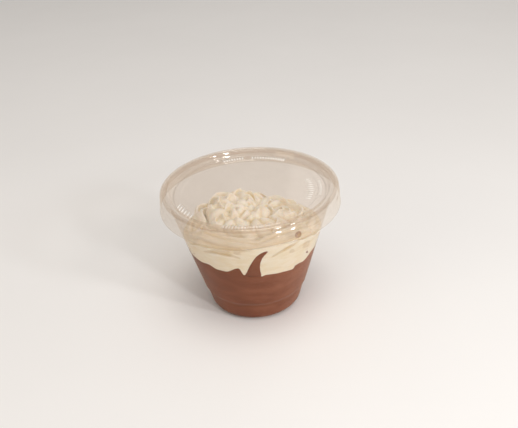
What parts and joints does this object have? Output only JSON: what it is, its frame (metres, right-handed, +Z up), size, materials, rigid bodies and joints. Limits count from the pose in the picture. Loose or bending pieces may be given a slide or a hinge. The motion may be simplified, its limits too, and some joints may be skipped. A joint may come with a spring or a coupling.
{
  "type": "chocolate mousse dessert cup",
  "caption": "Chocolate mousse under piped whipped cream, in a clear tapered plastic cup with a press-on lid.",
  "frame": {"origin": "centre of the resting ring, on the surface that the cup stands on", "axes": "+Z up the axis of the cup, -Y towards the front, +X to the right seen from the front"},
  "size_m": [0.098, 0.098, 0.073],
  "materials": {
    "clear_cup": "thin clear thermoformed plastic, smooth and glossy, faintly warm",
    "chocolate_mousse": "smooth aerated mousse pressed against the cup, soft satin",
    "whipped_cream": "piped whipped cream, soft matt sheen, pale ivory",
    "clear_lid": "thin clear thermoformed plastic, slightly hazy, with fine moulded ribs"
  },
  "bodies": {
    "root": {"cup": "clear_cup", "mousse": "chocolate_mousse", "cream": "whipped_cream", "lid": "clear_lid"}
  },
  "joints": []
}
